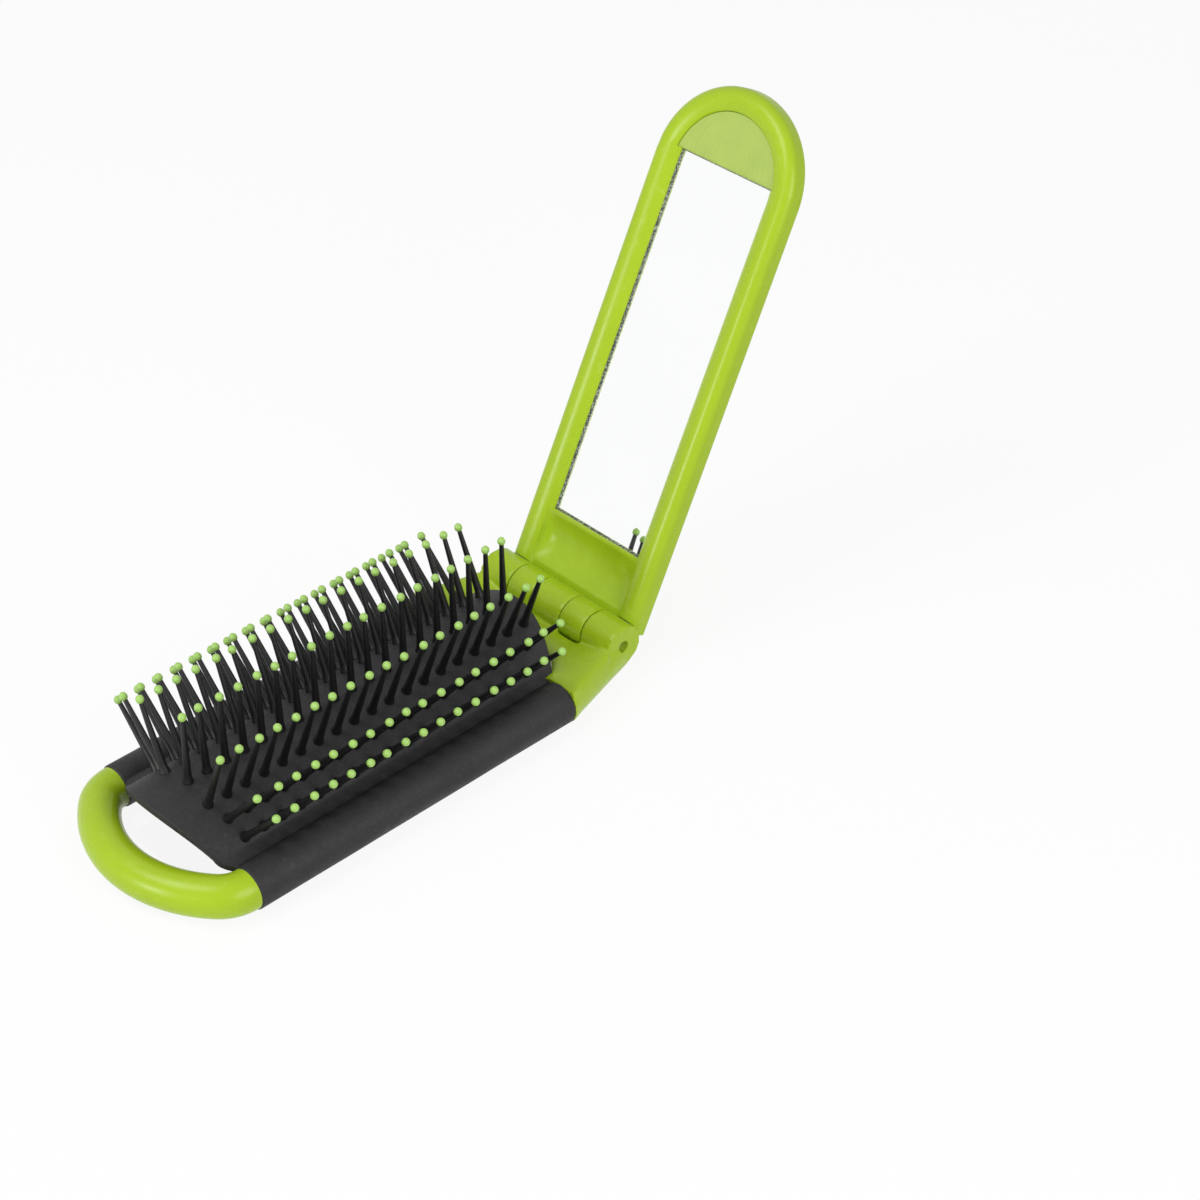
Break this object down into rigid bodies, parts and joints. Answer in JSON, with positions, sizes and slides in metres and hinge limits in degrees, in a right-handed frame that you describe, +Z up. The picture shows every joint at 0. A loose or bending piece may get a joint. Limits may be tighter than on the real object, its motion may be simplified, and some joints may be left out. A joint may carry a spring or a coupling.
{
  "type": "folding travel hairbrush",
  "caption": "Folding travel hairbrush: looped frame with rubber grips, an arched pad of beaded bristles that drops flat, and a hinged lid with a mirror.",
  "frame": {"origin": "on the surface the brush rests on, under the middle of the hinge pin", "axes": "+X from the loop towards the hinge, +Y across the brush, +Z up out of the bristles"},
  "size_m": [0.164, 0.0478, 0.1011],
  "materials": {
    "green_plastic": "gloss",
    "black_rubber": "matte",
    "black_plastic": "satin",
    "bead_plastic": "gloss",
    "mirror_glass": "polished",
    "tape": "matte",
    "steel": "drawn"
  },
  "bodies": {
    "frame": {"loop_frame": "green_plastic", "sleeve_near": "black_rubber", "sleeve_far": "black_rubber", "hinge_block": "green_plastic", "hinge_pin": "steel", "rubber_pad": "black_rubber"},
    "lid": {"lid_frame": "green_plastic", "lid_cover": "green_plastic", "mirror": "mirror_glass", "mirror_tape": "tape"},
    "row_1": {"comb_1": "black_plastic", "tips_1": "bead_plastic"},
    "row_2": {"comb_2": "black_plastic", "tips_2": "bead_plastic"},
    "row_3": {"comb_3": "black_plastic", "tips_3": "bead_plastic"},
    "row_4": {"comb_4": "black_plastic", "tips_4": "bead_plastic"},
    "row_5": {"comb_5": "black_plastic", "tips_5": "bead_plastic"},
    "row_6": {"comb_6": "black_plastic", "tips_6": "bead_plastic"},
    "row_7": {"comb_7": "black_plastic", "tips_7": "bead_plastic"}
  },
  "joints": [
    {"name": "lid_hinge", "type": "hinge", "parent": "frame", "child": "lid", "pos_m": [0, 0, 0.0073], "axis": [0, -1, 0], "range_deg": [0, 117.5], "deforming": ["rubber_pad"]},
    {"name": "row_1_turn", "type": "hinge", "parent": "frame", "child": "row_1", "pos_m": [0, -0.03173, 0.0013], "axis": [-1, 0, 0], "range_deg": [0, 43.5]},
    {"name": "row_2_turn", "type": "hinge", "parent": "frame", "child": "row_2", "pos_m": [0, -0.03254, 0.00136], "axis": [-1, 0, 0], "range_deg": [0, 42.3]},
    {"name": "row_3_turn", "type": "hinge", "parent": "frame", "child": "row_3", "pos_m": [0, -0.05679, -0.00094], "axis": [-1, 0, 0], "range_deg": [0, 22.1]},
    {"name": "row_4_drop", "type": "slide", "parent": "frame", "child": "row_4", "axis": [0, 0, -1], "range_m": [0, 0.02136]},
    {"name": "row_5_turn", "type": "hinge", "parent": "frame", "child": "row_5", "pos_m": [0, 0.05679, -0.00094], "axis": [1, 0, 0], "range_deg": [0, 22.1]},
    {"name": "row_6_turn", "type": "hinge", "parent": "frame", "child": "row_6", "pos_m": [0, 0.03254, 0.00136], "axis": [1, 0, 0], "range_deg": [0, 42.3]},
    {"name": "row_7_turn", "type": "hinge", "parent": "frame", "child": "row_7", "pos_m": [0, 0.03173, 0.0013], "axis": [1, 0, 0], "range_deg": [0, 43.5]}
  ],
  "couplings": [
    {"joint": "row_1_turn", "follows": "lid_hinge", "ratio": 0.37021},
    {"joint": "row_2_turn", "follows": "lid_hinge", "ratio": 0.36},
    {"joint": "row_3_turn", "follows": "lid_hinge", "ratio": 0.18809},
    {"joint": "row_4_drop", "follows": "lid_hinge", "m_per_rad": 0.010416},
    {"joint": "row_5_turn", "follows": "lid_hinge", "ratio": 0.18809},
    {"joint": "row_6_turn", "follows": "lid_hinge", "ratio": 0.36},
    {"joint": "row_7_turn", "follows": "lid_hinge", "ratio": 0.37021}
  ]
}
